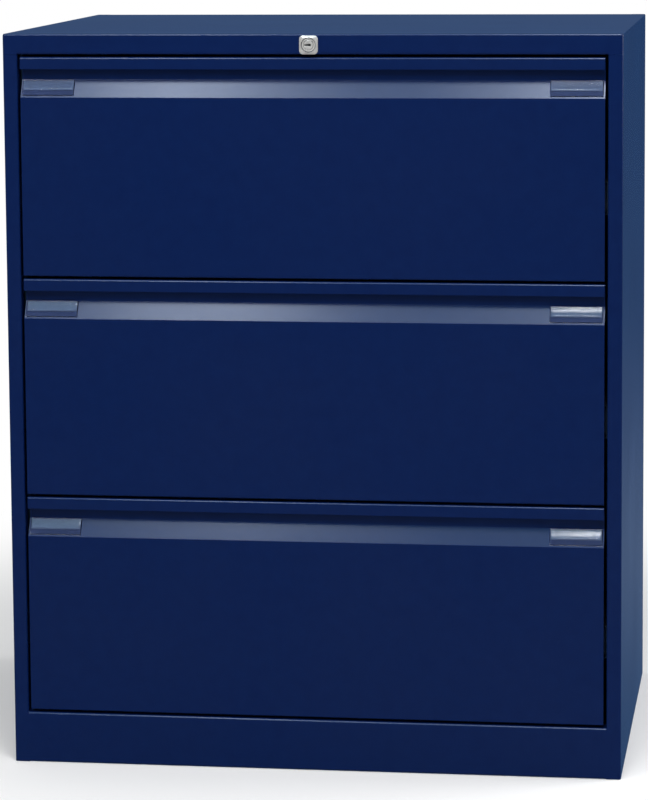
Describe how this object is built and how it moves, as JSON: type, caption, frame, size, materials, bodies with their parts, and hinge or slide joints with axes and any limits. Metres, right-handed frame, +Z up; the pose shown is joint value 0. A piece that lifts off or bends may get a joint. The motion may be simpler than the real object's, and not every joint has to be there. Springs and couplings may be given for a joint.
{
  "type": "lateral filing cabinet",
  "caption": "Steel lateral filing cabinet with full-width drawers on telescopic runners, slanted finger recesses, label holders and a bar lock.",
  "frame": {"origin": "on the floor under the middle of the case", "axes": "+Z up, the drawers face -Y, +X to the right seen from the front"},
  "size_m": [0.845, 0.6263, 1.016],
  "materials": {
    "paint": "semi-gloss deep navy stoved paint",
    "zinc": "bright zinc plate",
    "chrome": "polished chrome plate",
    "clear": "clear glossy plastic",
    "nylon": "black moulded nylon"
  },
  "bodies": {
    "case": {"top_panel": "paint", "left_side_panel": "paint", "right_side_panel": "paint", "back_panel": "paint", "base_pan": "paint", "plinth": "paint", "left_front_post": "zinc", "left_rear_post": "zinc", "right_front_post": "zinc", "right_rear_post": "zinc", "lock_bezel": "chrome", "lock_barrel": "chrome", "lock_nut": "zinc", "rod_bracket": "zinc", "lower_bar_guide": "zinc", "upper_bar_guide": "zinc", "upper_cabinet_runner_left": "zinc", "upper_cabinet_runner_right": "zinc", "middle_cabinet_runner_left": "zinc", "middle_cabinet_runner_right": "zinc", "lower_cabinet_runner_left": "zinc", "lower_cabinet_runner_right": "zinc"},
    "upper_drawer": {"upper_drawer_front": "paint", "upper_drawer_body": "paint", "upper_centre_rail": "zinc", "upper_lock_catch": "zinc", "upper_label_holder_left": "clear", "upper_label_holder_right": "clear", "upper_drawer_runner_left": "zinc", "upper_drawer_runner_right": "zinc"},
    "upper_middle_runners": {"upper_middle_runner_left": "zinc", "upper_middle_runner_right": "zinc"},
    "middle_drawer": {"middle_drawer_front": "paint", "middle_drawer_body": "paint", "middle_centre_rail": "zinc", "middle_lock_catch": "zinc", "middle_label_holder_left": "clear", "middle_label_holder_right": "clear", "middle_drawer_runner_left": "zinc", "middle_drawer_runner_right": "zinc"},
    "middle_middle_runners": {"middle_middle_runner_left": "zinc", "middle_middle_runner_right": "zinc"},
    "lower_drawer": {"lower_drawer_front": "paint", "lower_drawer_body": "paint", "lower_centre_rail": "zinc", "lower_lock_catch": "zinc", "lower_label_holder_left": "clear", "lower_label_holder_right": "clear", "lower_drawer_runner_left": "zinc", "lower_drawer_runner_right": "zinc"},
    "lower_middle_runners": {"lower_middle_runner_left": "zinc", "lower_middle_runner_right": "zinc"},
    "lock_cylinder": {"lock_plug": "chrome", "lock_rod": "zinc"},
    "lock_lifter": {"lock_bar": "zinc"},
    "front_left_foot": {"front_left_levelling_foot": "nylon"},
    "front_right_foot": {"front_right_levelling_foot": "nylon"},
    "rear_left_foot": {"rear_left_levelling_foot": "nylon"},
    "rear_right_foot": {"rear_right_levelling_foot": "nylon"}
  },
  "joints": [
    {"name": "upper_drawer_slide", "type": "slide", "parent": "case", "child": "upper_drawer", "axis": [0, -1, 0], "range_m": [0, 0.54]},
    {"name": "upper_runner_slide", "type": "slide", "parent": "case", "child": "upper_middle_runners", "axis": [0, -1, 0], "range_m": [0, 0.27]},
    {"name": "middle_drawer_slide", "type": "slide", "parent": "case", "child": "middle_drawer", "axis": [0, -1, 0], "range_m": [0, 0.54]},
    {"name": "middle_runner_slide", "type": "slide", "parent": "case", "child": "middle_middle_runners", "axis": [0, -1, 0], "range_m": [0, 0.27]},
    {"name": "lower_drawer_slide", "type": "slide", "parent": "case", "child": "lower_drawer", "axis": [0, -1, 0], "range_m": [0, 0.54]},
    {"name": "lower_runner_slide", "type": "slide", "parent": "case", "child": "lower_middle_runners", "axis": [0, -1, 0], "range_m": [0, 0.27]},
    {"name": "lock_turn", "type": "hinge", "parent": "case", "child": "lock_cylinder", "pos_m": [0, -0.3, 1.001], "axis": [0, -1, 0], "range_deg": [0, 90]},
    {"name": "lock_lift", "type": "slide", "parent": "case", "child": "lock_lifter", "axis": [0, 0, 1], "range_m": [0, 0.012]},
    {"name": "front_left_foot_screw", "type": "slide", "parent": "case", "child": "front_left_foot", "axis": [0, 0, -1], "range_m": [0, 0.015]},
    {"name": "front_right_foot_screw", "type": "slide", "parent": "case", "child": "front_right_foot", "axis": [0, 0, -1], "range_m": [0, 0.015]},
    {"name": "rear_left_foot_screw", "type": "slide", "parent": "case", "child": "rear_left_foot", "axis": [0, 0, -1], "range_m": [0, 0.015]},
    {"name": "rear_right_foot_screw", "type": "slide", "parent": "case", "child": "rear_right_foot", "axis": [0, 0, -1], "range_m": [0, 0.015]}
  ],
  "couplings": [
    {"joint": "upper_runner_slide", "follows": "upper_drawer_slide", "ratio": 0.5},
    {"joint": "middle_runner_slide", "follows": "middle_drawer_slide", "ratio": 0.5},
    {"joint": "lower_runner_slide", "follows": "lower_drawer_slide", "ratio": 0.5},
    {"joint": "lock_turn", "follows": "lock_lift", "rad_per_m": 130.89}
  ]
}
